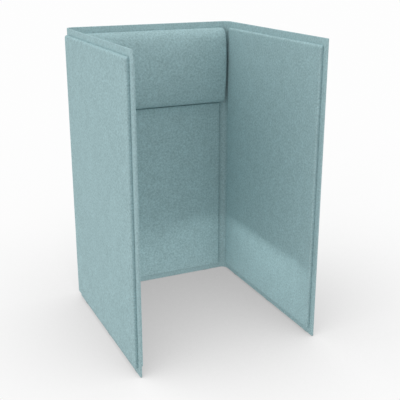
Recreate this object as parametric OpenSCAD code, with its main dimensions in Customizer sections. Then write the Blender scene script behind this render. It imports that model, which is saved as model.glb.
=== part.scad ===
// Seating partition: a U-shaped screen that stands round a seat.
// A thin carrier of three boards and two bent corners is skinned in felt and holds
// upholstered pads on both faces, with a head cushion high on the inside of the back.
// Origin: on the floor, in the middle of the overall footprint. +Z is up, the open side faces -Y.

/* [Carrier] */
// Outside width over the two wings, without the outer pads
carrier_w = 880; // [760:10:1000]
// Depth from the front edges of the wings to the outer face of the back
carrier_d = 935; // [800:5:1100]
// Height of the top edge above the floor
overall_h = 1400; // [1300:10:1600]
// Outer radius of the two rear corners
corner_r = 44; // [36:1:60]
// Thickness of the boards and of the bent corner pieces
core_t = 6; // [5:0.5:10]
// Thickness of the felt on every face and edge of the carrier
skin_t = 1; // [0.6:0.1:2]

/* [Corner joints] */
// Straight lip at each end of a bent corner piece
corner_lip = 30; // [20:1:50]
// Width of the steel strip that bridges a joint
strip_w = 24; // [16:1:34]
// Thickness of the steel strip
strip_t = 1.5; // [1:0.1:2.5]
// Clearance on each side of a strip in its slot
strip_fit = 0.1; // [0.05:0.05:0.2]

/* [Glides] */
// Height that the glides hold the carrier above the floor
glide_h = 1.5; // [1:0.5:6]
// Length of a glide
glide_l = 36; // [20:1:60]
// Diameter of the pin that fixes a glide
glide_pin_d = 3.5; // [2:0.1:4.5]
// Length of the pin above the foot of the glide
glide_pin_l = 15; // [8:1:30]
// Distance from the end of a board to its first glide
glide_inset = 60; // [40:5:120]

/* [Pads] */
// Bare margin between a pad and the upper or lower edge of the carrier
edge_margin = 30; // [24:1:50]
// Bare margin between a pad and the front edge of a wing
front_margin = 26; // [20:1:50]
// Bare strip between a pad on a wing or on the outer back and the start of a bend
bend_gap = 1; // [1:0.5:12]
// Distance of the lower back pad from the inner face of a wing
lower_back_margin = 44; // [38:1:70]
// Thickness of the lower back pad in the middle
lower_back_proud = 11.5; // [11:0.5:18]
// Rise of the face of the lower back pad from its edges to its middle
lower_back_crown = 1.5; // [0.5:0.5:2]
// Radius of the soft edge all round the lower back pad
lower_back_roll = 6.5; // [5:0.5:7]
// Thickness of a pad in the middle
pad_proud = 18; // [17:0.5:30]
// Rise of the padded face from its edges to its middle
pad_crown = 2; // [0.5:0.5:4]
// Radius of the soft edge along the top and the bottom of a pad
pad_roll = 12; // [9:0.5:12.5]
// Radius of the soft edge along the two ends of a pad
pad_end_roll = 8; // [6:0.5:10]
// Radius at which the cover turns in towards the carrier
pad_tuck = 2.5; // [1.5:0.5:3]
// Thickness of the stiff backing board in a pad
backing_t = 3; // [2:0.5:4]
// Thickness of the cover where it is turned under the backing
hem_t = 1; // [0.6:0.1:1.5]
// Width of cover turned under the backing
hem_w = 22; // [14:1:34]
// Thickness of wadding and cover over the foam
wadding_t = 4; // [3:0.5:5]

/* [Head cushion] */
// Height of the head cushion
head_h = 394; // [320:2:460]
// Distance of the head cushion from the inner face of a wing
head_margin = 28; // [28:1:60]
// Thickness along the lower edge of the head cushion
head_proud_low = 45; // [36:1:60]
// Thickness along the upper edge of the head cushion
head_proud_high = 56; // [50:1:70]
// Rise of the cushion face between its lower and upper edge
head_crown = 12; // [4:1:20]
// Height of the rounding under the cushion
head_roll_low = 30; // [16:1:40]
// Height of the rounding over the cushion
head_roll_high = 76; // [40:1:90]
// Radius of the soft edge along the two ends of the cushion
head_end_roll = 12; // [9:0.5:16]
// Radius at which the cushion turns in towards the carrier
head_tuck = 8; // [4:0.5:9]
// Gap between the head cushion and the pad below it
head_gap = 2; // [1:0.5:10]

/* [Clips] */
// Outside diameter of the socket pressed into a board
socket_d = 12; // [10.5:0.5:16]
// Bore of the socket
socket_bore_d = 8; // [7:0.5:9]
// Radial clearance of the socket in its board
socket_fit = 0.05; // [0.02:0.01:0.1]
// Radial clearance of the clip barbs in the socket
barb_fit = 0.1; // [0.05:0.05:0.3]
// Diameter of the clip flange between the felt and the backing
clip_flange_d = 20; // [16:1:24]
// Diameter of the clip spigot pressed into the backing
clip_spigot_d = 10; // [8:0.5:12]
// Distance of the outermost clips from the edges of a pad
clip_inset = 90; // [70:5:130]
// Height by which the clips of the inner pads are set off from those outside
clip_shift = 60; // [40:5:100]
// Distance of the clips from the upper and lower edge of the head cushion
head_clip_inset = 70; // [60:5:90]

/* [Hidden] */

FELT = [0.56, 0.69, 0.71];
BOARD = [0.72, 0.60, 0.44];
FOAM = [0.90, 0.88, 0.80];
STEEL = [0.70, 0.71, 0.73];
PLASTIC = [0.16, 0.17, 0.18];

// Faces of a curve that is not a bore
$fn = 64;
// Overshoot of a cut past the face that it leaves
over = 1;

carrier_t = core_t + 2 * skin_t;
half_w = carrier_w / 2;
y_front = -(carrier_d + pad_proud) / 2;
y_back = y_front + carrier_d;
y_inner = y_back - carrier_t;
z_foot = glide_h;
z_core = z_foot + skin_t;
core_h = overall_h - skin_t - z_core;
y_joint = y_back - corner_r - corner_lip;
x_joint = half_w - corner_r - corner_lip;
mid_t = carrier_t / 2;
wing_mid_x = half_w - mid_t;
back_mid_y = y_back - mid_t;

pad_z = z_foot + edge_margin;
pad_h = overall_h - edge_margin - pad_z;
wing_pad_w = y_back - corner_r - bend_gap - (y_front + front_margin);
wing_pad_y = y_front + front_margin + wing_pad_w / 2;
outer_back_w = 2 * (half_w - corner_r - bend_gap);
lower_back_w = 2 * (half_w - carrier_t - lower_back_margin);
head_w = 2 * (half_w - carrier_t - head_margin);
head_z = overall_h - edge_margin - head_h;
lower_back_h = head_z - head_gap - pad_z;

// A pad is written as [width, height, foot, form, clips]. Its form is
// [low edge, high edge, crown, share of the crown kept at the ends,
//  low roll height, low roll depth, high roll height, high roll depth, tuck, end roll]
function pad_width(pad) = pad[0];
function pad_height(pad) = pad[1];
function pad_foot(pad) = pad[2];
function form_of(pad) = pad[3];
function clip_spots(pad) = pad[4];
function low_edge(form) = form[0];
function high_edge(form) = form[1];
function crown_of(form) = form[2];
function crown_kept(form) = form[3];
function low_roll(form) = [form[4], form[5]];
function high_roll(form) = [form[6], form[7]];
function tuck_of(form) = form[8];
function end_roll(form) = form[9];

function plain_form(proud, crown, roll, ends) =
    [proud - crown, proud - crown, crown, 0, roll, roll, roll, roll, pad_tuck, ends];
flat_form = plain_form(pad_proud, pad_crown, pad_roll, pad_end_roll);
thin_form = plain_form(lower_back_proud, lower_back_crown, lower_back_roll, lower_back_roll);
head_form = [head_proud_low, head_proud_high, head_crown, 0.8, head_roll_low, head_roll_low,
             head_roll_high, head_proud_high - head_tuck - 1, head_tuck, head_end_roll];

// Two columns of clips, in three rows that share the height of the pad
function side_clips(width, height, shift) = [
    for (side = [-1, 1]) for (row = [clip_inset + shift, height / 2 + shift, height - clip_inset - shift])
        [side * (width / 2 - clip_inset), row]
];
function head_clips_at(width) = [
    for (column = [-1, 0, 1]) for (row = [head_clip_inset, head_h - head_clip_inset])
        [column * (width / 2 - clip_inset), row]
];

outer_wing = [wing_pad_w, pad_h, pad_z, flat_form, side_clips(wing_pad_w, pad_h, 0)];
inner_wing = [wing_pad_w, pad_h, pad_z, flat_form, side_clips(wing_pad_w, pad_h, clip_shift)];
outer_back = [outer_back_w, pad_h, pad_z, flat_form, side_clips(outer_back_w, pad_h, 0)];
lower_back = [lower_back_w, lower_back_h, pad_z, thin_form,
              side_clips(lower_back_w, lower_back_h, clip_shift)];
head = [head_w, head_h, head_z, head_form, head_clips_at(head_w)];

// Steps of the soft outline: round a tuck, round a roll, over the crown, and along the ends
tuck_steps = 2;
roll_steps = 5;
crown_steps = 6;
end_steps = 4;
span_steps = 6;
// Angle at which the rounding of a pad's end starts, so that the end keeps a narrow flat
end_start = 15;

// Moves a child that is drawn on a pad's own back plane to that pad's place.
// In the pad's own frame X is its width, Z its height and -Y points away from the carrier.
module on_inner_back(pad) translate([0, y_inner, pad_foot(pad)]) children();
module on_outer_back(pad) translate([0, y_back, pad_foot(pad)]) rotate([0, 0, 180]) children();
module on_inner_left(pad)
    translate([-half_w + carrier_t, wing_pad_y, pad_foot(pad)]) rotate([0, 0, 90]) children();
module on_outer_left(pad)
    translate([-half_w, wing_pad_y, pad_foot(pad)]) rotate([0, 0, -90]) children();
module on_inner_right(pad) mirror([1, 0, 0]) on_inner_left(pad) children();
module on_outer_right(pad) mirror([1, 0, 0]) on_outer_left(pad) children();

// Filled outline of the carrier, moved in from its outer face by inset
module carrier_block(inset) {
    r = corner_r - inset;
    x = half_w - inset;
    y_arc = y_back - corner_r;
    translate([-x, y_front]) square([2 * x, y_arc - y_front]);
    translate([-x + r, y_front]) square([2 * (x - r), y_back - inset - y_front]);
    for (side = [-1, 1]) translate([side * (x - r), y_arc]) circle(r);
}

// Layer of the carrier between two depths below its outer face
module carrier_layer(from, to, front) {
    difference() {
        carrier_block(from);
        carrier_block(to);
        translate([-half_w - over, y_front - over]) square([carrier_w + 2 * over, over + front]);
        translate([-half_w + to, y_front - over]) square([carrier_w - 2 * to, carrier_d / 2]);
    }
}

// Slot for a joint strip: centre in plan, and whether the strip runs along Y
module strip_slot(x, y, along_y) {
    thin = strip_t + 2 * strip_fit;
    wide = strip_w + 2 * strip_fit;
    size = along_y ? [thin, wide, core_h + 2 * over] : [wide, thin, core_h + 2 * over];
    translate([x - size[0] / 2, y - size[1] / 2, z_core - over]) cube(size);
}

module joint_strip(x, y, along_y) {
    size = along_y ? [strip_t, strip_w, core_h] : [strip_w, strip_t, core_h];
    color(STEEL) translate([x - size[0] / 2, y - size[1] / 2, z_core]) cube(size);
}

// Hole through a board for a clip socket, in the frame of the pad that it serves
module socket_holes(pad)
    for (spot = clip_spots(pad)) translate([spot[0], skin_t - over, spot[1]]) rotate([-90, 0, 0])
        cylinder(h = core_t + 2 * over, d = socket_d + 2 * socket_fit);

// Hole through the felt on the side of the pad that the clip comes from
module felt_holes(pad)
    for (spot = clip_spots(pad)) translate([spot[0], -over, spot[1]]) rotate([-90, 0, 0])
        cylinder(h = skin_t + 2 * over, d = socket_bore_d);

module sockets(pad)
    for (spot = clip_spots(pad)) translate([spot[0], skin_t, spot[1]]) rotate([-90, 0, 0])
        difference() {
            cylinder(h = core_t, d = socket_d);
            translate([0, 0, -over]) cylinder(h = core_t + 2 * over, d = socket_bore_d);
        }

// Half section of a clip: spigot in the backing, flange on the felt, barbed shank in the socket
module clip_section() {
    stem = socket_bore_d / 2 - 1.4;
    barb = socket_bore_d / 2 - barb_fit;
    pitch = core_t / 4;
    polygon(concat(
        [[0, -hem_t - backing_t], [clip_spigot_d / 2, -hem_t - backing_t],
         [clip_spigot_d / 2, -hem_t], [clip_flange_d / 2, -hem_t], [clip_flange_d / 2, 0], [stem, 0]],
        [for (turn = [1 : 3]) each [
            [stem, skin_t + (turn - 0.4) * pitch],
            [barb, skin_t + (turn - 0.4) * pitch],
            [stem, skin_t + (turn + 0.3) * pitch]]],
        [[0, skin_t + 3.4 * pitch]]));
}

module clips(pad)
    color(PLASTIC) for (spot = clip_spots(pad)) translate([spot[0], 0, spot[1]]) rotate([-90, 0, 0])
        rotate_extrude() clip_section();

// Places of the glides under one half of the carrier: [x, y, turned along the back]
glide_spots = [
    [-wing_mid_x, y_front + glide_inset, false],
    [-wing_mid_x, (y_front + y_joint) / 2, false],
    [-wing_mid_x, y_joint - glide_inset, false],
    [-x_joint + glide_inset, back_mid_y, true]
];

module at_glides()
    for (side = [0, 1]) mirror([side, 0, 0])
        for (spot = glide_spots) translate([spot[0], spot[1], 0]) rotate([0, 0, spot[2] ? 90 : 0]) children();

module glide_pin_holes() at_glides() cylinder(h = glide_pin_l, d = glide_pin_d);

// Profile of a soft form as [height, depth] points, from the back of its lower edge over the
// face to the back of its upper edge. inset shrinks it on every side, lift is the depth of its
// back, and rise scales the crown.
function quarter(centre, reach, from, to, steps) = [
    for (k = [0 : steps]) let (a = from + (to - from) * k / steps)
        [centre[0] + reach[0] * cos(a), centre[1] + reach[1] * sin(a)]
];
function profile(form, height, inset, lift, rise) =
    let (
        low = low_roll(form) - [inset, inset],
        high = high_roll(form) - [inset, inset],
        low_w = low_edge(form) - inset,
        high_w = high_edge(form) - inset,
        tuck = tuck_of(form) - lift,
        crown = crown_of(form) * rise,
        face_h = height - low_roll(form)[0] - high_roll(form)[0],
        lean = (high_w - low_w) / face_h,
        low_slope = atan((lean + 4 * crown / face_h) * low[0] / low[1]),
        high_slope = atan((4 * crown / face_h - lean) * high[0] / high[1]),
        low_arc = quarter([inset + low[0], low_w - low[1]], low, 180, 90 + low_slope, roll_steps),
        high_arc = quarter([height - inset - high[0], high_w - high[1]], high,
                           90 - high_slope, 0, roll_steps),
        a = low_arc[roll_steps],
        b = high_arc[0]
    )
    concat(
        quarter([inset + tuck, lift + tuck], [tuck, tuck], 270, 180, tuck_steps),
        low_arc,
        [for (k = [1 : crown_steps - 1]) let (s = k / crown_steps)
            [a[0] + (b[0] - a[0]) * s, a[1] + (b[1] - a[1]) * s + 4 * crown * s * (1 - s)]],
        high_arc,
        quarter([height - inset - tuck, lift + tuck], [tuck, tuck], 0, -90, tuck_steps));

// Stations along the width of a pad: [distance from its middle, inset, lift of the back]
function end_stations(width, roll, tuck) = [
    for (k = [0 : end_steps]) let (
        a = end_start + (90 - end_start) * k / end_steps,
        d = roll * (cos(end_start) - cos(a)),
        t = max(0, tuck - d)
    ) [width / 2 - d, roll * (1 - sin(a)), min(0.9 * tuck, tuck - sqrt(tuck * tuck - t * t))]
];
function stations(width, roll, tuck) =
    let (end = end_stations(width, roll, tuck), reach = end[end_steps][0])
    concat(
        [for (s = end) [-s[0], s[1], s[2]]],
        [for (k = [1 : span_steps - 1]) [-reach + 2 * reach * k / span_steps, 0, 0]],
        [for (k = [end_steps : -1 : 0]) end[k]]);

// Closed soft form of a pad, lofted across its width
module soft_form(pad) {
    width = pad_width(pad);
    form = form_of(pad);
    rows = [
        for (s = stations(width, end_roll(form), tuck_of(form)))
            let (
                across = pow(2 * s[0] / width, 2),
                rise = crown_kept(form) + (1 - crown_kept(form)) * (1 - across),
                line = profile(form, pad_height(pad), s[1], s[2], rise)
            ) [for (p = line) [s[0], -p[1], p[0]]]
    ];
    n = len(rows[0]);
    last = (len(rows) - 1) * n;
    sides = [
        for (k = [0 : len(rows) - 2]) for (j = [0 : n - 1]) let (i = k * n, m = (j + 1) % n)
            each [[i + j, i + m, i + n + j], [i + m, i + n + m, i + n + j]]
    ];
    ends = [
        for (j = [1 : n - 2]) each [[0, j + 1, j], [last, last + j, last + j + 1]]
    ];
    polyhedron(points = [for (row = rows) each row], faces = concat(sides, ends));
}

// Plate with rounded corners in the frame of a pad, moved in from the outline of the pad
module pad_plate(pad, inset, from, thickness) {
    r = max(end_roll(form_of(pad)) - inset, 1);
    x = pad_width(pad) / 2 - inset - r;
    low = inset + r;
    high = pad_height(pad) - inset - r;
    translate([0, -from, 0]) rotate([90, 0, 0]) linear_extrude(thickness) {
        translate([-x, low - r]) square([2 * x, high - low + 2 * r]);
        translate([-x - r, low]) square([2 * x + 2 * r, high - low]);
        for (side = [-1, 1]) for (z = [low, high]) translate([side * x, z]) circle(r);
    }
}

function backing_inset(pad) = tuck_of(form_of(pad)) + 1.5;

module backing_plate(pad) pad_plate(pad, backing_inset(pad), hem_t, backing_t);

module backing(pad)
    color(BOARD) difference() {
        backing_plate(pad);
        for (spot = clip_spots(pad)) translate([spot[0], -hem_t + over, spot[1]]) rotate([90, 0, 0])
            cylinder(h = backing_t + 2 * over, d = clip_spigot_d);
    }

// Foam block: the profile of the pad less the wadding, cut off square at the backing
module foam_block(pad) {
    form = form_of(pad);
    line = profile(form, pad_height(pad), wadding_t, 0, 1 - pow(1 - 2 * wadding_t / pad_width(pad), 2));
    seat = hem_t + backing_t;
    raised = [for (p = line) if (p[1] > seat) p];
    section = concat([[raised[0][0], seat]], raised, [[raised[len(raised) - 1][0], seat]]);
    length = pad_width(pad) - max(end_roll(form), 2 * wadding_t + 2);
    translate([-length / 2, 0, 0]) rotate([90, 0, 90]) linear_extrude(length)
        polygon([for (p = section) [-p[1], p[0]]]);
}

module foam(pad) color(FOAM) foam_block(pad);

module cover(pad)
    color(FELT) difference() {
        soft_form(pad);
        foam_block(pad);
        backing_plate(pad);
        pad_plate(pad, hem_w, -over, over + hem_t);
    }

module left_board_blank()
    translate([-half_w + skin_t, y_front + skin_t, z_core]) cube([core_t, y_joint - y_front - skin_t, core_h]);

module left_board()
    color(BOARD) difference() {
        left_board_blank();
        strip_slot(-wing_mid_x, y_joint, true);
        on_inner_left(inner_wing) socket_holes(inner_wing);
        on_outer_left(outer_wing) socket_holes(outer_wing);
        glide_pin_holes();
    }

module right_board() mirror([1, 0, 0]) left_board();

module back_board()
    color(BOARD) difference() {
        translate([-x_joint, y_inner + skin_t, z_core]) cube([2 * x_joint, core_t, core_h]);
        for (side = [-1, 1]) strip_slot(side * x_joint, back_mid_y, false);
        on_inner_back(lower_back) socket_holes(lower_back);
        on_inner_back(head) socket_holes(head);
        on_outer_back(outer_back) socket_holes(outer_back);
        glide_pin_holes();
    }

module left_corner()
    color(BOARD) difference() {
        translate([0, 0, z_core]) linear_extrude(core_h) intersection() {
            carrier_layer(skin_t, carrier_t - skin_t, skin_t);
            translate([-half_w, y_joint]) square(corner_r + corner_lip);
        }
        strip_slot(-wing_mid_x, y_joint, true);
        strip_slot(-x_joint, back_mid_y, false);
    }

module right_corner() mirror([1, 0, 0]) left_corner();

module left_wing_strip() joint_strip(-wing_mid_x, y_joint, true);
module left_back_strip() joint_strip(-x_joint, back_mid_y, false);
module right_back_strip() joint_strip(x_joint, back_mid_y, false);
module right_wing_strip() joint_strip(wing_mid_x, y_joint, true);

module outer_skin()
    color(FELT) difference() {
        translate([0, 0, z_core]) linear_extrude(core_h) carrier_layer(0, skin_t, skin_t);
        on_outer_left(outer_wing) felt_holes(outer_wing);
        on_outer_right(outer_wing) felt_holes(outer_wing);
        on_outer_back(outer_back) felt_holes(outer_back);
    }

module inner_skin()
    color(FELT) difference() {
        translate([0, 0, z_core]) linear_extrude(core_h) carrier_layer(carrier_t - skin_t, carrier_t, skin_t);
        on_inner_left(inner_wing) felt_holes(inner_wing);
        on_inner_right(inner_wing) felt_holes(inner_wing);
        on_inner_back(lower_back) felt_holes(lower_back);
        on_inner_back(head) felt_holes(head);
    }

module edge_band(foot) color(FELT) translate([0, 0, foot]) linear_extrude(skin_t) carrier_layer(0, carrier_t, 0);

module top_edge_band() edge_band(overall_h - skin_t);

module bottom_edge_band()
    difference() {
        edge_band(z_foot);
        glide_pin_holes();
    }

module left_edge_band() color(FELT) translate([-half_w, y_front, z_core]) cube([carrier_t, skin_t, core_h]);

module right_edge_band() mirror([1, 0, 0]) left_edge_band();

module left_sockets() color(PLASTIC) {
    on_inner_left(inner_wing) sockets(inner_wing);
    on_outer_left(outer_wing) sockets(outer_wing);
}

module right_sockets() mirror([1, 0, 0]) left_sockets();

module back_sockets() color(PLASTIC) {
    on_inner_back(lower_back) sockets(lower_back);
    on_inner_back(head) sockets(head);
    on_outer_back(outer_back) sockets(outer_back);
}

// Each glide is a flat foot with round ends and a pin that is driven up into the board
module glides()
    color(PLASTIC) at_glides() {
        linear_extrude(glide_h) {
            reach = (glide_l - carrier_t) / 2;
            translate([-mid_t, -reach]) square([carrier_t, 2 * reach]);
            for (end = [-1, 1]) translate([0, end * reach]) circle(mid_t);
        }
        translate([0, 0, glide_h]) cylinder(h = glide_pin_l - glide_h, d = glide_pin_d);
    }

module outer_left_backing() on_outer_left(outer_wing) backing(outer_wing);
module outer_left_foam() on_outer_left(outer_wing) foam(outer_wing);
module outer_left_cover() on_outer_left(outer_wing) cover(outer_wing);
module outer_left_clips() on_outer_left(outer_wing) clips(outer_wing);

module outer_right_backing() on_outer_right(outer_wing) backing(outer_wing);
module outer_right_foam() on_outer_right(outer_wing) foam(outer_wing);
module outer_right_cover() on_outer_right(outer_wing) cover(outer_wing);
module outer_right_clips() on_outer_right(outer_wing) clips(outer_wing);

module outer_back_backing() on_outer_back(outer_back) backing(outer_back);
module outer_back_foam() on_outer_back(outer_back) foam(outer_back);
module outer_back_cover() on_outer_back(outer_back) cover(outer_back);
module outer_back_clips() on_outer_back(outer_back) clips(outer_back);

module inner_left_backing() on_inner_left(inner_wing) backing(inner_wing);
module inner_left_foam() on_inner_left(inner_wing) foam(inner_wing);
module inner_left_cover() on_inner_left(inner_wing) cover(inner_wing);
module inner_left_clips() on_inner_left(inner_wing) clips(inner_wing);

module inner_right_backing() on_inner_right(inner_wing) backing(inner_wing);
module inner_right_foam() on_inner_right(inner_wing) foam(inner_wing);
module inner_right_cover() on_inner_right(inner_wing) cover(inner_wing);
module inner_right_clips() on_inner_right(inner_wing) clips(inner_wing);

module lower_back_backing() on_inner_back(lower_back) backing(lower_back);
module lower_back_foam() on_inner_back(lower_back) foam(lower_back);
module lower_back_cover() on_inner_back(lower_back) cover(lower_back);
module lower_back_clips() on_inner_back(lower_back) clips(lower_back);

module head_backing() on_inner_back(head) backing(head);
module head_foam() on_inner_back(head) foam(head);
module head_cover() on_inner_back(head) cover(head);
module head_clips() on_inner_back(head) clips(head);

left_board();
back_board();
right_board();
left_corner();
right_corner();
left_wing_strip();
left_back_strip();
right_back_strip();
right_wing_strip();
outer_skin();
inner_skin();
top_edge_band();
bottom_edge_band();
left_edge_band();
right_edge_band();
left_sockets();
back_sockets();
right_sockets();
glides();
outer_left_backing();
outer_left_foam();
outer_left_cover();
outer_left_clips();
outer_back_backing();
outer_back_foam();
outer_back_cover();
outer_back_clips();
outer_right_backing();
outer_right_foam();
outer_right_cover();
outer_right_clips();
inner_left_backing();
inner_left_foam();
inner_left_cover();
inner_left_clips();
inner_right_backing();
inner_right_foam();
inner_right_cover();
inner_right_clips();
lower_back_backing();
lower_back_foam();
lower_back_cover();
lower_back_clips();
head_backing();
head_foam();
head_cover();
head_clips();
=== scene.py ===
# %% [markdown]
# # A seating partition
#
# The object is a tall, U-shaped screen that stands round one seat. A thin carrier runs up one wing,
# round the back and down the other wing. Soft pads are clipped to both of its faces, and a thick
# cushion sits at head height. The boards, clips and foam come from the imported CAD model. This lesson
# dresses them: it models the cloth-covered forms and gives each surface its finish.
#
# The first step loads the frame.

# %% Load the frame
import math

import bmesh
import bpy
from mathutils import Matrix, Vector, noise


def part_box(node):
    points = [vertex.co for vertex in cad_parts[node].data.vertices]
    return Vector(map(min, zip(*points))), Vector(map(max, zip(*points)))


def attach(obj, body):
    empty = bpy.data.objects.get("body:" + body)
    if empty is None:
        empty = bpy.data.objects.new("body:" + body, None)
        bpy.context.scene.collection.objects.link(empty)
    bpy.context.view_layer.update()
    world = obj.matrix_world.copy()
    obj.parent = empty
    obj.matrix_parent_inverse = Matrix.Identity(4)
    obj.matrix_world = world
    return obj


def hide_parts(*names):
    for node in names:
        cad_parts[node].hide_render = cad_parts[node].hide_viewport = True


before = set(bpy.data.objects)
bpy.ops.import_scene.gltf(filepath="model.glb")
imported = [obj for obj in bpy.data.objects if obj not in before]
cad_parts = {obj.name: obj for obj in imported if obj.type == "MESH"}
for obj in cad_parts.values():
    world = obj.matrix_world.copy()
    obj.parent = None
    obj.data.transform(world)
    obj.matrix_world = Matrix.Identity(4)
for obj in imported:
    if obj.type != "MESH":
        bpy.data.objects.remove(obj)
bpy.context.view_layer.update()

MM = 0.001
print("CAD nodes:", len(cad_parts))

# %% [markdown]
# ## The camera
#
# The camera stands in front of the open side, to the left and well above the top edge, so that it
# looks down into the partition. Its place and lens were solved from the straight edges of the
# object, and not set by eye.

# %% Place the camera
CAMERA_PLACE = (-1.3874, -3.1240, 1.7432)
CAMERA_TILT = math.radians(71.57)
CAMERA_TURN = math.radians(-24.91)
CAMERA_LENS = 66.95
CAMERA_SIGHT = 200


def place_camera():
    """A camera at the photograph's angle, made the scene's own."""
    camera = bpy.data.objects.new("camera", bpy.data.cameras.new("camera"))
    camera.location = CAMERA_PLACE
    camera.rotation_euler = (CAMERA_TILT, 0, CAMERA_TURN)
    camera.data.lens = CAMERA_LENS
    camera.data.clip_end = CAMERA_SIGHT
    bpy.context.collection.objects.link(camera)
    bpy.context.scene.camera = camera
    return camera


print("camera at", tuple(place_camera().location))

# %% [markdown]
# ## Two helpers for node materials
#
# A procedural material is a small tree of nodes. Most lines of such a tree make a node, set its
# options and fill its inputs, either with a value or with a link from another node. One helper does
# all three, so that a material below reads from top to bottom like a recipe.

# %% Helpers for materials


def add_node(tree, kind, inputs=None, **options):
    """A new node with its options set and its inputs filled with values or links."""
    made = tree.nodes.new(kind)
    for name, value in options.items():
        setattr(made, name, value)
    for name, value in (inputs or {}).items():
        if isinstance(value, bpy.types.NodeSocket):
            tree.links.new(value, made.inputs[name])
        else:
            made.inputs[name].default_value = value
    return made


def new_material(name):
    """An empty node material, and its output node."""
    material = bpy.data.materials.new(name)
    material.use_nodes = True
    material.node_tree.nodes.clear()
    output = add_node(material.node_tree, "ShaderNodeOutputMaterial")
    return material, material.node_tree, output


def object_place(tree, scale=(1, 1, 1)):
    """The place on the object, stretched by a scale along its axes."""
    place = add_node(tree, "ShaderNodeTexCoord").outputs["Object"]
    mapping = add_node(tree, "ShaderNodeMapping", {"Vector": place, "Scale": scale})
    return mapping.outputs["Vector"]


# %% [markdown]
# ## The light
#
# The photograph has the even light of a white studio: no hard shadow, bright top edges, and a left
# side that is lighter than the inside. A plain white world would already be close. A few soft lobes
# are added to it, like large softboxes overhead, on the left and at the right in front. Each is a
# power of the cosine between a ray and the lobe's direction. The camera and mirror-like rays see
# plain white instead, so that the background stays clean. The lowest quarter of the inside is
# lighter than what is above it, with a level edge, so five flat lamps shine down from that height.

# %% Light the studio
SKY_LEVEL = 0.3
SKY_LOBES = [
    ((0.0, 0.0, 1.0), 16, 3.62),
    ((-1.0, 0.0, 0.3), 3, 1.33),
    ((1.0, -1.0, 0.6), 6, 1.05),
    ((0.0, -1.0, 1.0), 8, 0.37),
]
PANEL_HEIGHT = 0.352
PANELS = {
    "front_low_panel": ((-0.10, -0.30), (0.22, 0.28), 0.45),
    "middle_low_panel": ((0.12, 0.04), (0.20, 0.30), 0.14),
    "rear_low_panel": ((0.0, 0.26), (0.60, 0.10), 0.03),
    "left_low_panel": ((-0.29, -0.02), (0.14, 0.76), 0.34),
    "right_low_panel": ((0.29, -0.02), (0.14, 0.76), 0.34),
}


def sky_lobe(tree, ray, direction, tightness, strength):
    """The strength that one soft lobe adds in the direction of a ray."""
    along = add_node(
        tree,
        "ShaderNodeVectorMath",
        {0: ray, 1: Vector(direction).normalized()},
        operation="DOT_PRODUCT",
    )
    ahead = add_node(tree, "ShaderNodeMath", {0: along.outputs["Value"], 1: 0.0}, operation="MAXIMUM")
    narrow = add_node(tree, "ShaderNodeMath", {0: ahead.outputs["Value"], 1: tightness}, operation="POWER")
    scaled = add_node(tree, "ShaderNodeMath", {0: narrow.outputs["Value"], 1: strength}, operation="MULTIPLY")
    return scaled.outputs["Value"]


def seen_directly(tree):
    """1 for camera, glossy and transmission rays, and 0 for the others."""
    rays = add_node(tree, "ShaderNodeLightPath")
    seen = rays.outputs["Is Camera Ray"]
    for kind in ("Is Glossy Ray", "Is Transmission Ray"):
        seen = add_node(tree, "ShaderNodeMath", {0: seen, 1: rays.outputs[kind]}, operation="MAXIMUM")
        seen = seen.outputs["Value"]
    return seen


def light_world():
    """An even white sky with a few broad lobes, which the camera sees as plain white."""
    world = bpy.data.worlds.new("studio_sky")
    world.use_nodes = True
    tree = world.node_tree
    ray = add_node(tree, "ShaderNodeTexCoord").outputs["Generated"]
    level = SKY_LEVEL
    for direction, tightness, strength in SKY_LOBES:
        lobe = sky_lobe(tree, ray, direction, tightness, strength)
        level = add_node(tree, "ShaderNodeMath", {0: lobe, 1: level}, operation="ADD").outputs["Value"]
    shown = add_node(
        tree,
        "ShaderNodeMix",
        {"Factor": seen_directly(tree), "A": level, "B": 1.0},
        data_type="FLOAT",
    )
    tree.links.new(shown.outputs["Result"], tree.nodes["Background"].inputs["Strength"])
    tree.nodes["Background"].inputs["Color"].default_value = (1, 1, 1, 1)
    bpy.context.scene.world = world


def hang_panel(name, place, size, power):
    """A flat lamp that faces down between the wings and isn't seen itself."""
    lamp = bpy.data.lights.new(name, "AREA")
    lamp.shape = "RECTANGLE"
    lamp.size, lamp.size_y = size
    lamp.energy = power
    panel = bpy.data.objects.new(name, lamp)
    panel.location = (*place, PANEL_HEIGHT)
    panel.visible_camera = False
    bpy.context.collection.objects.link(panel)


light_world()
for name, (place, size, power) in PANELS.items():
    hang_panel(name, place, size, power)
bpy.context.scene.view_settings.view_transform = "Standard"
print("sky lobes:", len(SKY_LOBES), "panels:", len(PANELS))

# %% [markdown]
# ## The floor
#
# The floor in the photograph is white, with a soft grey shadow that takes no colour from the cloth.
# For the camera, the floor's grey is therefore worked out from how much of the sky each point sees,
# which is what ambient occlusion measures. It looks a little forward of straight up, where more of
# the light comes from. To all other rays the floor glows, because in the photograph the lower edges
# are nearly as bright as the rest, so much of the light comes from below. The wide shadow takes
# nothing from this glow. It only fades close to the object, where the floor itself sees little sky.

# %% Lay the floor
FLOOR_REACH = 60.0
FLOOR_GLOW = 0.79
GLOW_RISE = 0.36
GLOW_REACH = 0.12
GLOW_SAMPLES = 8
SHADOW_LEVEL = 0.316
SHADOW_RISE = 0.70
SHADOW_REACH = 4.0
SHADOW_SAMPLES = 16
SHADOW_LEAN = (-0.18, -0.1, 1.0)
FLOOR_WHITE = 0.985


def lean(tree, direction):
    """A direction as an output that can be linked to a normal."""
    x, y, z = Vector(direction).normalized()
    return add_node(tree, "ShaderNodeCombineXYZ", {"X": x, "Y": y, "Z": z}).outputs["Vector"]


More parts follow.
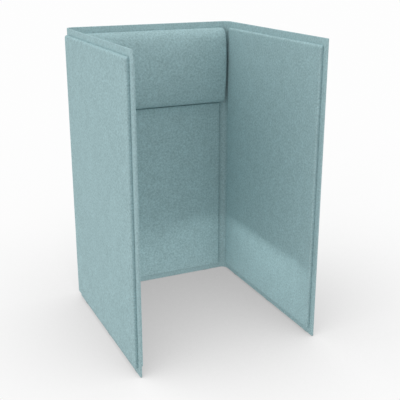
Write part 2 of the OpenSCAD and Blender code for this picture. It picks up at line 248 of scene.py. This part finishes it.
def floor_material():
    """A soft neutral shadow for the camera, and for the light a glow that fades near the object."""
    material, tree, output = new_material("studio_floor")
    open_sky = add_node(
        tree,
        "ShaderNodeAmbientOcclusion",
        {"Distance": SHADOW_REACH, "Normal": lean(tree, SHADOW_LEAN)},
        samples=SHADOW_SAMPLES,
    )
    grey = add_node(
        tree,
        "ShaderNodeMath",
        {0: open_sky.outputs["AO"], 1: SHADOW_RISE, 2: SHADOW_LEVEL},
        operation="MULTIPLY_ADD",
    )
    capped = add_node(tree, "ShaderNodeMath", {0: grey.outputs["Value"], 1: FLOOR_WHITE}, operation="MINIMUM")
    shown = add_node(tree, "ShaderNodeEmission", {"Strength": capped.outputs["Value"]})
    near_open = add_node(tree, "ShaderNodeAmbientOcclusion", {"Distance": GLOW_REACH}, samples=GLOW_SAMPLES)
    glow_level = add_node(
        tree,
        "ShaderNodeMath",
        {0: near_open.outputs["AO"], 1: GLOW_RISE, 2: FLOOR_GLOW - GLOW_RISE},
        operation="MULTIPLY_ADD",
    )
    glow = add_node(tree, "ShaderNodeEmission", {"Strength": glow_level.outputs["Value"]})
    surface = add_node(
        tree,
        "ShaderNodeMixShader",
        {0: seen_directly(tree), 1: glow.outputs["Emission"], 2: shown.outputs["Emission"]},
    )
    tree.links.new(surface.outputs["Shader"], output.inputs["Surface"])
    material.cycles.emission_sampling = "NONE"
    return material


def make_floor():
    """A wide level plane just under the glides."""
    mesh = bpy.data.meshes.new("studio_floor")
    shape = bmesh.new()
    bmesh.ops.create_grid(shape, x_segments=1, y_segments=1, size=FLOOR_REACH)
    shape.to_mesh(mesh)
    shape.free()
    mesh.materials.append(floor_material())
    floor = bpy.data.objects.new("studio_floor", mesh)
    bpy.context.collection.objects.link(floor)
    return floor


print("floor reaches", make_floor().dimensions.x / 2, "m")

# %% [markdown]
# ## The cover cloth
#
# The pads are covered in a wool cloth of mixed yarns. From a step away it looks like one grey-green
# colour that is never quite even: lighter and darker yarns lie side by side, a few millimetres
# long. Three layers of noise stand for that. A broad one tints large patches very slightly, a middle
# one makes the mixed yarns, and a fine one is the nap of single fibres. The last two also lift the
# surface as a small bump. Noise on the object's own coordinates runs on round every edge, so it needs
# no unwrapping.

# %% Mix the cloth
CLOTH_COLOR = (0.343, 0.491, 0.512)
YARN_LENGTH = 8.5 * MM
NAP_SIZE = 1.6 * MM
PATCH_SIZE = 60.0 * MM
FIBRE_SHARE = 0.4
YARN_RAMP = (0.34, 0.66)
PATCH_CONTRAST = 0.03
NOISE_RANGE = (0.3, 0.7)
BUMP_STRENGTH = 0.6


def tinted(color, factor):
    """A colour made lighter or darker by a factor, with its alpha."""
    return tuple(min(1.0, part * factor) for part in color) + (1.0,)


def cloth_material(name, color, contrast, nap_height):
    """Wool cloth of mixed yarns: three layers of noise, a dry surface and a soft sheen."""
    material, tree, output = new_material(name)
    place = object_place(tree)
    yarn = add_node(
        tree,
        "ShaderNodeTexNoise",
        {"Vector": place, "Scale": 1 / YARN_LENGTH, "Detail": 2.0, "Roughness": 0.6},
    )
    nap = add_node(
        tree,
        "ShaderNodeTexNoise",
        {"Vector": place, "Scale": 1 / NAP_SIZE, "Detail": 2.0, "Roughness": 0.6},
    )
    patch = add_node(
        tree,
        "ShaderNodeTexNoise",
        {"Vector": place, "Scale": 1 / PATCH_SIZE, "Detail": 1.0},
    )
    fibres = add_node(
        tree,
        "ShaderNodeMix",
        {"Factor": FIBRE_SHARE, "A": yarn.outputs["Fac"], "B": nap.outputs["Fac"]},
        data_type="FLOAT",
    )
    yarns = add_node(tree, "ShaderNodeValToRGB", {"Fac": fibres.outputs["Result"]})
    yarns.color_ramp.elements[0].position = YARN_RAMP[0]
    yarns.color_ramp.elements[0].color = tinted(color, 1 - contrast)
    yarns.color_ramp.elements[1].position = YARN_RAMP[1]
    yarns.color_ramp.elements[1].color = tinted(color, 1 + contrast)
    level = add_node(
        tree,
        "ShaderNodeMapRange",
        {
            "Value": patch.outputs["Fac"],
            "From Min": NOISE_RANGE[0],
            "From Max": NOISE_RANGE[1],
            "To Min": 1 - PATCH_CONTRAST,
            "To Max": 1 + PATCH_CONTRAST,
        },
    )
    patched = add_node(
        tree,
        "ShaderNodeVectorMath",
        {0: yarns.outputs["Color"], "Scale": level.outputs["Result"]},
        operation="SCALE",
    )
    height = add_node(
        tree,
        "ShaderNodeMath",
        {0: yarn.outputs["Fac"], 1: nap.outputs["Fac"]},
        operation="ADD",
    )
    bump = add_node(
        tree,
        "ShaderNodeBump",
        {"Height": height.outputs["Value"], "Distance": nap_height, "Strength": BUMP_STRENGTH},
    )
    surface = add_node(
        tree,
        "ShaderNodeBsdfPrincipled",
        {
            "Base Color": patched.outputs["Vector"],
            "Normal": bump.outputs["Normal"],
            "Roughness": 0.95,
            "Specular IOR Level": 0.05,
            "Sheen Weight": 0.05,
            "Sheen Tint": (0.62, 0.9, 0.94, 1.0),
            "Sheen Roughness": 0.5,
        },
    )
    tree.links.new(surface.outputs["BSDF"], output.inputs["Surface"])
    return material


COVER_CLOTH = cloth_material("cover_cloth", CLOTH_COLOR, contrast=0.22, nap_height=0.75 * MM)
CARRIER_FELT = cloth_material("carrier_felt", CLOTH_COLOR, contrast=0.2, nap_height=0.5 * MM)
print("cloth materials:", COVER_CLOTH.name, CARRIER_FELT.name)

# %% [markdown]
# ## Wood, hardboard, steel and plastic
#
# Under the cloth are the parts that hold the partition up, and they keep the meshes of the CAD model.
# Only their finish is new. Most natural patterns are noise that is stretched along one direction: the
# grain of birch veneer runs upright, the fibres of hardboard lie in all directions, and rolling
# leaves long faint lines on steel. The cut edges of plywood show its plies, as light and dark lines
# across the thickness. Moulded plastic has an even colour and a fine dull texture from its mould.

# %% Finish the hidden parts
VENEER_GRAIN = (9 * MM, 9 * MM, 160 * MM)
VENEER_TONES = ((0.60, 0.47, 0.32), (0.78, 0.67, 0.50))
PLY_TONES = ((0.42, 0.29, 0.18), (0.80, 0.68, 0.50))
PLY_PAIR = 2.4 * MM
WAVE_RADIANS = 20
LEVEL_FACE = 0.7
BOARD_FIBRE = (1.4 * MM, 1.4 * MM, 1.4 * MM)
BOARD_TONES = ((0.33, 0.22, 0.13), (0.56, 0.40, 0.26))
ROLLING_LINES = (0.6 * MM, 0.6 * MM, 90 * MM)
STEEL_TONES = ((0.60, 0.61, 0.63), (0.74, 0.75, 0.77))
MOULD_TEXTURE = (0.5 * MM, 0.5 * MM, 0.5 * MM)
SCUFF_SIZE = (1.5 * MM, 14 * MM, 14 * MM)
CLIP_COLOR = (0.16, 0.17, 0.18)
GLIDE_COLOR = (0.50, 0.52, 0.52)


def grain(tree, spot, detail=3.0):
    """Noise with spots of a given size along the three axes."""
    place = object_place(tree, [1 / size for size in spot])
    return add_node(
        tree,
        "ShaderNodeTexNoise",
        {"Vector": place, "Scale": 1.0, "Detail": detail, "Roughness": 0.55},
    ).outputs["Fac"]


def two_tones(tree, factor, dark, light, start=NOISE_RANGE[0], end=NOISE_RANGE[1]):
    """A colour between a dark and a light tone."""
    ramp = add_node(tree, "ShaderNodeValToRGB", {"Fac": factor})
    ramp.color_ramp.elements[0].position = start
    ramp.color_ramp.elements[0].color = (*dark, 1.0)
    ramp.color_ramp.elements[1].position = end
    ramp.color_ramp.elements[1].color = (*light, 1.0)
    return ramp.outputs["Color"]


def ranged(tree, factor, low, high):
    """A noise value stretched over a range, for a roughness."""
    span = {"From Min": NOISE_RANGE[0], "From Max": NOISE_RANGE[1], "To Min": low, "To Max": high}
    return add_node(tree, "ShaderNodeMapRange", {"Value": factor, **span}).outputs["Result"]


def shaded(tree, output, color, roughness, height, depth, **constants):
    """Ends a material: its shader, with a bump from a height, linked to the output."""
    bump = add_node(tree, "ShaderNodeBump", {"Height": height, "Distance": depth, "Strength": BUMP_STRENGTH})
    inputs = {"Base Color": color, "Roughness": roughness, "Normal": bump.outputs["Normal"]}
    surface = add_node(tree, "ShaderNodeBsdfPrincipled", {**inputs, **constants})
    tree.links.new(surface.outputs["BSDF"], output.inputs["Surface"])


def plywood(name, wave_type, centre=(0.0, 0.0), **direction):
    """Birch plywood: upright grain on the faces, and plies on the upper and lower edge."""
    material, tree, output = new_material(name)
    veneer = grain(tree, VENEER_GRAIN, detail=5.0)
    wood = two_tones(tree, veneer, *VENEER_TONES)
    place = add_node(tree, "ShaderNodeTexCoord").outputs["Object"]
    centred = add_node(
        tree,
        "ShaderNodeMapping",
        {"Vector": place, "Location": (-centre[0], -centre[1], 0)},
    )
    plies = add_node(
        tree,
        "ShaderNodeTexWave",
        {
            "Vector": centred.outputs["Vector"],
            "Scale": 2 * math.pi / WAVE_RADIANS / PLY_PAIR,
            "Distortion": 0.2,
        },
        wave_type=wave_type,
        wave_profile="TRI",
        **direction,
    )
    edges = two_tones(tree, plies.outputs["Fac"], *PLY_TONES, 0.35, 0.65)
    facing = add_node(tree, "ShaderNodeNewGeometry").outputs["Normal"]
    upright = add_node(tree, "ShaderNodeSeparateXYZ", {"Vector": facing}).outputs["Z"]
    flat = add_node(tree, "ShaderNodeMath", {0: upright}, operation="ABSOLUTE")
    on_edge = add_node(
        tree,
        "ShaderNodeMath",
        {0: flat.outputs["Value"], 1: LEVEL_FACE},
        operation="GREATER_THAN",
    )
    color = add_node(
        tree,
        "ShaderNodeMix",
        {"Factor": on_edge.outputs["Value"], "A": wood, "B": edges},
        data_type="RGBA",
    )
    shaded(tree, output, color.outputs["Result"], ranged(tree, veneer, 0.5, 0.7), veneer, 0.15 * MM)
    return material


def hardboard():
    """Pressed wood fibre: short brown fibres, some lighter, with a waxy dull face."""
    material, tree, output = new_material("backing_board")
    fibres = grain(tree, BOARD_FIBRE, detail=6.0)
    color = two_tones(tree, fibres, *BOARD_TONES)
    shaded(tree, output, color, ranged(tree, fibres, 0.55, 0.8), fibres, 0.2 * MM)
    return material


def rolled_steel():
    """Bare strip steel with long faint rolling lines."""
    material, tree, output = new_material("strip_steel")
    lines = grain(tree, ROLLING_LINES, detail=4.0)
    color = two_tones(tree, lines, *STEEL_TONES)
    shaded(tree, output, color, ranged(tree, lines, 0.25, 0.42), lines, 0.02 * MM, Metallic=1.0)
    return material


def moulded_plastic(name, color, scuffed):
    """Moulded plastic: nearly even colour, a fine mould texture and a few paler scuffs."""
    material, tree, output = new_material(name)
    texture = grain(tree, MOULD_TEXTURE, detail=2.0)
    scuffs = grain(tree, SCUFF_SIZE, detail=4.0)
    dark = tuple(part * 0.95 for part in color)
    light = tuple(min(1.0, part * (1.05 + scuffed)) for part in color)
    tone = two_tones(tree, scuffs, dark, light, 0.4, 0.8)
    shaded(tree, output, tone, ranged(tree, scuffs, 0.38, 0.55), texture, 0.06 * MM)
    return material


def dress(nodes, material):
    """Gives CAD nodes a finish in place of their plain one."""
    for node in nodes:
        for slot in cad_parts[node].material_slots:
            slot.material = material


PAD_NAMES = ["outer_left", "outer_back", "outer_right", "inner_left", "inner_right", "lower_back", "head"]
WING_BOARDS = plywood("wing_board", "BANDS", bands_direction="X")
BACK_BOARD = plywood("back_board", "BANDS", bands_direction="Y")
dress(["left_board", "right_board"], WING_BOARDS)
dress(["back_board"], BACK_BOARD)
for side, corner in (("left", "left_corner"), ("right", "right_corner")):
    low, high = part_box(corner)
    middle_x = high.x if side == "left" else low.x
    dress([corner], plywood(f"{side}_bent_board", "RINGS", (middle_x, low.y), rings_direction="Z"))
dress([f"{side}_strip" for side in ("left_wing", "left_back", "right_back", "right_wing")], rolled_steel())
dress([f"{name}_backing" for name in PAD_NAMES], hardboard())
CLIP_PLASTIC = moulded_plastic("clip_plastic", CLIP_COLOR, scuffed=0.1)
dress([f"{name}_clips" for name in PAD_NAMES], CLIP_PLASTIC)
dress(["left_sockets", "back_sockets", "right_sockets"], CLIP_PLASTIC)
dress(["glides"], moulded_plastic("glide_plastic", GLIDE_COLOR, scuffed=0.25))
print("finishes:", len(bpy.data.materials))

# %% [markdown]
# ## The carrier
#
# The carrier is 8 mm thick and covered in felt on both faces and over its edges. A strip of it stays
# bare round every pad, and at the front and the top its edge shows as a thin, slightly rounded line.
# It is one closed form, so it starts as the narrow end face of the left wing. That face is extruded
# along the wing, swept round the corner, extruded across the back, and so on to the other end, and
# a bevel then rounds the long edges.

# %% Sweep the carrier
CARRIER_NODES = [
    "outer_skin",
    "inner_skin",
    "top_edge_band",
    "bottom_edge_band",
    "left_edge_band",
    "right_edge_band",
]
CORNER_RADIUS = 44 * MM
CORNER_STEPS = 12
EDGE_ROUNDING = 2.2 * MM
SHARP_ANGLE = math.pi / 3


def joint_box(nodes):
    """The lowest and highest corner of several nodes together."""
    boxes = [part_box(node) for node in nodes]
    low = Vector(min(box[0][axis] for box in boxes) for axis in range(3))
    high = Vector(max(box[1][axis] for box in boxes) for axis in range(3))
    return low, high


def finish_piece(name, shape, material, nodes):
    """Turns a bmesh into a named piece that rides on the body and stands for CAD nodes."""
    mesh = bpy.data.meshes.new(name)
    bmesh.ops.recalc_face_normals(shape, faces=shape.faces)
    shape.to_mesh(mesh)
    shape.free()
    mesh.materials.append(material)
    mesh.shade_smooth()
    piece = bpy.data.objects.new(name, mesh)
    bpy.context.collection.objects.link(piece)
    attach(piece, "root")
    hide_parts(*nodes)
    return piece


def push_on(shape, face, matrix):
    """Extrudes one face and moves the new end by a matrix. Returns the new end face."""
    grown = bmesh.ops.extrude_face_region(shape, geom=[face])["geom"]
    bmesh.ops.delete(shape, geom=[face], context="FACES_ONLY")
    corners = [part for part in grown if isinstance(part, bmesh.types.BMVert)]
    bmesh.ops.transform(shape, matrix=matrix, verts=corners)
    return next(part for part in grown if isinstance(part, bmesh.types.BMFace))


def sweep_corner(shape, face, centre, turn):
    """Carries one face round an upright axis in small steps."""
    step = Matrix.Rotation(turn / CORNER_STEPS, 4, "Z")
    about = Matrix.Translation(centre) @ step @ Matrix.Translation(-centre)
    for _ in range(CORNER_STEPS):
        face = push_on(shape, face, about)
    return face


def make_carrier():
    """The felt-covered carrier, from the front edge of one wing to that of the other."""
    low, high = joint_box(CARRIER_NODES)
    inner_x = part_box("inner_right_cover")[1].x
    shape = bmesh.new()
    corners = [(low.x, low.z), (-inner_x, low.z), (-inner_x, high.z), (low.x, high.z)]
    face = shape.faces.new([shape.verts.new((x, low.y, z)) for x, z in corners])
    turn_y = high.y - CORNER_RADIUS
    turn_x = high.x - CORNER_RADIUS
    face = push_on(shape, face, Matrix.Translation((0, turn_y - low.y, 0)))
    face = sweep_corner(shape, face, Vector((-turn_x, turn_y, 0)), -math.pi / 2)
    face = push_on(shape, face, Matrix.Translation((2 * turn_x, 0, 0)))
    face = sweep_corner(shape, face, Vector((turn_x, turn_y, 0)), -math.pi / 2)
    push_on(shape, face, Matrix.Translation((0, low.y - turn_y, 0)))
    bmesh.ops.holes_fill(shape, edges=shape.edges)
    bmesh.ops.recalc_face_normals(shape, faces=shape.faces)
    shape.normal_update()
    sharp = [edge for edge in shape.edges if edge.calc_face_angle() > SHARP_ANGLE]
    bmesh.ops.bevel(
        shape,
        geom=sharp,
        offset=EDGE_ROUNDING,
        segments=3,
        profile=0.5,
        affect="EDGES",
        material=-1,
    )
    return finish_piece("carrier_cloth", shape, CARRIER_FELT, CARRIER_NODES)


carrier = make_carrier()
print("carrier faces:", len(carrier.data.polygons))

# %% [markdown]
# ## The soft form of a pad
#
# A pad is a stiff backing with foam and a drawn-over cover. Seen in section, the cover turns in
# behind the foam, rolls over the lower edge, crosses the crowned face and rolls back over the upper
# edge. Each section across the width is the same curve, and towards both ends the sections shrink
# and lift so that the ends roll over too. So a pad is a flat grid whose columns are bent into these
# sections. The grid keeps the faces in even rows, which takes the later smoothing well.
#
# The numbers are those of the construction: how thick the foam is at the lower and upper edge, how
# far the face is crowned, and how far each edge rolls over, as height and depth. Only the tuck of the
# flat pads, the small turn of the cover at its back edge, is 0.5 to 0.9 mm larger here than there, for
# a darker crease along the carrier. The pad below the cushion is thinner than the others.

# %% The sections of a pad
FLAT_FORM = {
    "edges": (16 * MM, 16 * MM),
    "crown": 2 * MM,
    "crown_kept": 0.0,
    "low_roll": (12 * MM, 12 * MM),
    "high_roll": (12 * MM, 12 * MM),
    "end_roll": 8 * MM,
    "tuck": 3.0 * MM,
}
THIN_FORM = {
    "edges": (10 * MM, 10 * MM),
    "crown": 1.5 * MM,
    "crown_kept": 0.0,
    "low_roll": (6.5 * MM, 6.5 * MM),
    "high_roll": (6.5 * MM, 6.5 * MM),
    "end_roll": 6.5 * MM,
    "tuck": 3.4 * MM,
}
HEAD_FORM = {
    "edges": (45 * MM, 56 * MM),
    "crown": 12 * MM,
    "crown_kept": 0.8,
    "low_roll": (30 * MM, 30 * MM),
    "high_roll": (76 * MM, 47 * MM),
    "end_roll": 12 * MM,
    "tuck": 8 * MM,
}
ROLL_STEPS = 7
TUCK_STEPS = 3
FACE_STEP = 28 * MM
LIFT_LIMIT = 0.9
HEAD_WIDTH = 808 * MM


def arc(centre, reach, start, end, steps):
    """Points on a quarter of an ellipse, as (up, out) pairs; the angles are in degrees."""
    points = []
    for step in range(steps + 1):
        angle = math.radians(start + (end - start) * step / steps)
        points.append((centre[0] + reach[0] * math.cos(angle), centre[1] + reach[1] * math.sin(angle)))
    return points


def section(form, height, inset, lift, rise):
    """One section of a pad, from the lower back edge round the front to the upper one."""
    low_roll = [part - inset for part in form["low_roll"]]
    high_roll = [part - inset for part in form["high_roll"]]
    low_out, high_out = (edge - inset for edge in form["edges"])
    tuck = form["tuck"] - lift
    crown = form["crown"] * rise
    face = height - form["low_roll"][0] - form["high_roll"][0]
    slant = (high_out - low_out) / face
    low_slope = math.degrees(math.atan((slant + 4 * crown / face) * low_roll[0] / low_roll[1]))
    high_slope = math.degrees(math.atan((4 * crown / face - slant) * high_roll[0] / high_roll[1]))
    low_centre = (inset + low_roll[0], low_out - low_roll[1])
    high_centre = (height - inset - high_roll[0], high_out - high_roll[1])
    low_arc = arc(low_centre, low_roll, 180, 90 + low_slope, ROLL_STEPS)
    high_arc = arc(high_centre, high_roll, 90 - high_slope, 0, ROLL_STEPS)
    steps = round(face / FACE_STEP)
    start, end = low_arc[-1], high_arc[0]
    across = []
    for step in range(1, steps):
        share = step / steps
        bulge = 4 * crown * share * (1 - share)
        across.append(
            (
                start[0] + (end[0] - start[0]) * share,
                start[1] + (end[1] - start[1]) * share + bulge,
            )
        )
    low_tuck = arc((inset + tuck, lift + tuck), (tuck, tuck), 270, 180, TUCK_STEPS)[:-1]
    high_tuck = arc((height - inset - tuck, lift + tuck), (tuck, tuck), 0, -90, TUCK_STEPS)[1:]
    return low_tuck + low_arc + across + high_arc + high_tuck


def stations(form, width):
    """Where the sections stand: (place across the width, inset, lift)."""
    tuck, roll = form["tuck"], form["end_roll"]
    ends = []
    for step in range(1, ROLL_STEPS + 1):
        angle = math.radians(90 * step / ROLL_STEPS)
        inset = roll * (1 - math.sin(angle))
        from_end = roll * (1 - math.cos(angle))
        depth = max(0.0, tuck - from_end)
        lift = min(LIFT_LIMIT * tuck, tuck - math.sqrt(tuck**2 - depth**2))
        ends.append((width / 2 - from_end, inset, lift))
    steps = round((width - 2 * roll) / FACE_STEP)
    reach = width / 2 - roll
    middle = [(-reach + 2 * reach * step / steps, 0.0, 0.0) for step in range(1, steps)]
    return [(-x, inset, lift) for x, inset, lift in ends] + middle + ends[::-1]


print("sections of a head cushion:", len(stations(HEAD_FORM, HEAD_WIDTH)))

# %% [markdown]
# ## Seven pads
#
# All the pads share one function. Each takes its width, height and place from the box of its CAD
# cover, and is turned to face away from the carrier. The pad is made of two sheets, joined at their
# ends: the front one is bent into the sections, and the other is the flat back that lies against the
# carrier. Where the two meet along the top and the bottom, their points are merged.

# %% Build the pads
PADS = {
    "outer_left": (FLAT_FORM, -90),
    "outer_back": (FLAT_FORM, 180),
    "outer_right": (FLAT_FORM, 90),
    "inner_left": (FLAT_FORM, 90),
    "inner_right": (FLAT_FORM, -90),
    "lower_back": (THIN_FORM, 0),
    "head": (HEAD_FORM, 0),
}
HAND_UNEVENNESS = 0.5 * MM
HAND_REACH = 140 * MM
MERGE_REACH = 0.01 * MM


def pad_seat(node, turn):
    """The matrix from a pad's own frame to its place on the carrier, with its width and height."""
    low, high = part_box(node)
    size = high - low
    facing = Matrix.Rotation(math.radians(turn), 4, "Z") @ Vector((0, -1, 0))
    sideways = abs(facing.x) > 0.5
    width = size.y if sideways else size.x
    depth = size.x if sideways else size.y
    foot = (low + high) / 2 - facing * depth / 2
    foot.z = low.z
    return Matrix.Translation(foot) @ Matrix.Rotation(math.radians(turn), 4, "Z"), width, size.z


def joined_sheets(columns, points):
    """Two flat grids, one above the other, joined along their left and right ends."""
    shape = bmesh.new()
    for level in (0.0, -1.0):
        place = Matrix.Translation((0, 0, level))
        bmesh.ops.create_grid(shape, x_segments=columns, y_segments=points, size=0.5, matrix=place)
    for side in (-0.5, 0.5):
        rims = [e for e in shape.edges if all(abs(v.co.x - side) < 0.001 for v in e.verts)]
        bmesh.ops.bridge_loops(shape, edges=rims)
    return shape


def bend_sheets(form, width, height):
    """Two joined sheets, the front one bent into the sections of a pad and the other its flat back."""
    places = stations(form, width)
    rows = []
    for x, inset, lift in places:
        rise = form["crown_kept"] + (1 - form["crown_kept"]) * (1 - (2 * x / width) ** 2)
        rows.append(section(form, height, inset, lift, rise))
    columns, points = len(rows) - 1, len(rows[0]) - 1
    shape = joined_sheets(columns, points)
    for vert in shape.verts:
        column = round((vert.co.x + 0.5) * columns)
        point = round((vert.co.y + 0.5) * points)
        up, out = rows[column][point]
        if vert.co.z < -0.5:
            low, high = rows[column][0], rows[column][-1]
            up = low[0] + (high[0] - low[0]) * point / points
            out = low[1]
        vert.co = (places[column][0], -out, up)
    bmesh.ops.remove_doubles(shape, verts=shape.verts, dist=MERGE_REACH)
    return shape


def loosen(shape, depth):
    """Moves the face in and out by a fraction of a millimetre, as a hand-drawn cover lies."""
    for vert in shape.verts:
        away = min(1.0, max(0.0, -vert.co.y) / depth)
        vert.co.y += noise.noise(vert.co / HAND_REACH) * HAND_UNEVENNESS * away


def smooth_once(piece):
    """One subdivision, the same in the viewport and in the render."""
    smooth = piece.modifiers.new("smooth", "SUBSURF")
    smooth.levels = 1
    smooth.render_levels = 1


def make_pad(name, form, turn):
    """One covered pad in its place."""
    seat, width, height = pad_seat(f"{name}_cover", turn)
    shape = bend_sheets(form, width, height)
    loosen(shape, max(form["edges"]))
    bmesh.ops.transform(shape, matrix=seat, verts=shape.verts)
    soft_nodes = [f"{name}_cover", f"{name}_foam"]
    piece = finish_piece(f"{name}_cloth", shape, COVER_CLOTH, soft_nodes)
    smooth_once(piece)
    return piece


pads = {name: make_pad(name, form, turn) for name, (form, turn) in PADS.items()}
for name, piece in pads.items():
    print(name, "faces:", len(piece.data.polygons))

# %% [markdown]
# ## The head cushion, filled by air pressure
#
# The flat pads are tight over thin foam, and their form is complete. The head cushion is thick and
# soft, so its cover should bulge between the edges that hold it. A cloth simulation does this: the
# cushion is copied into even small faces, made slightly smaller in front, and blown up from inside
# while its flat back and its two ends stay pinned. The moves are then scaled down until none is
# longer than a cap, which keeps the measured outline and leaves no ridge, as cutting off only the
# long ones would. The result is written into the mesh, and no simulation stays on the cushion.

# %% Fill the head cushion
FILL_VOXEL = 6 * MM
FILL_SLACK = 1.5 * MM
FILL_CAP = 4 * MM
FILL_PRESSURE = 4.0
COVER_STIFFNESS = 60.0
FILL_FRAMES = 20
PINNED_DEPTH = 10 * MM
PINNED_END = 4 * MM


def result_of(piece):
    """A copy of the mesh that the piece's modifiers make of it."""
    return bpy.data.meshes.new_from_object(piece.evaluated_get(bpy.context.evaluated_depsgraph_get()))


def take_slack(piece, back_y, end_x):
    """Makes the cushion smaller away from its pinned back and ends. Returns the pinned points."""
    pinned = []
    inward = [-vert.normal * FILL_SLACK for vert in piece.data.vertices]
    for vert, shift in zip(piece.data.vertices, inward):
        from_back = (back_y - vert.co.y - PINNED_DEPTH) / PINNED_DEPTH
        from_end = (end_x - abs(vert.co.x) - PINNED_END) / PINNED_END
        free = min(from_back, from_end, 1.0)
        if free <= 0:
            pinned.append(vert.index)
        vert.co += shift * max(0.0, free)
    return pinned


def blow_up(piece, pinned):
    """Runs the cloth simulation and returns where each point came to rest."""
    holding = piece.vertex_groups.new(name="pinned")
    holding.add(pinned, 1.0, "REPLACE")
    cloth = piece.modifiers.new("air", "CLOTH").settings
    cloth.use_pressure = True
    cloth.uniform_pressure_force = FILL_PRESSURE
    cloth.vertex_group_mass = holding.name
    cloth.effector_weights.gravity = 0
    cloth.tension_stiffness = COVER_STIFFNESS
    cloth.compression_stiffness = COVER_STIFFNESS
    cloth.shear_stiffness = COVER_STIFFNESS / 3
    for frame_number in range(1, FILL_FRAMES + 1):
        bpy.context.scene.frame_set(frame_number)
    settled = [vert.co.copy() for vert in result_of(piece).vertices]
    piece.modifiers.clear()
    bpy.context.scene.frame_set(1)
    return settled


def fill_cushion(piece):
    """Replaces the cushion's mesh by one that air pressure has filled."""
    back_y = max(vert.co.y for vert in piece.data.vertices)
    end_x = max(vert.co.x for vert in piece.data.vertices)
    even = piece.modifiers.new("even_faces", "REMESH")
    even.mode = "VOXEL"
    even.voxel_size = FILL_VOXEL
    piece.data = result_of(piece)
    piece.modifiers.clear()
    settled = blow_up(piece, take_slack(piece, back_y, end_x))
    moves = [place - vert.co for vert, place in zip(piece.data.vertices, settled)]
    longest = max(move.length for move in moves)
    share = min(1.0, FILL_CAP / longest)
    for vert, move in zip(piece.data.vertices, moves):
        vert.co += move * share
    piece.data.shade_smooth()
    smooth_once(piece)
    print("points:", len(moves), "longest move, mm:", round(longest / MM, 1), "kept:", round(share, 2))


fill_cushion(pads["head"])
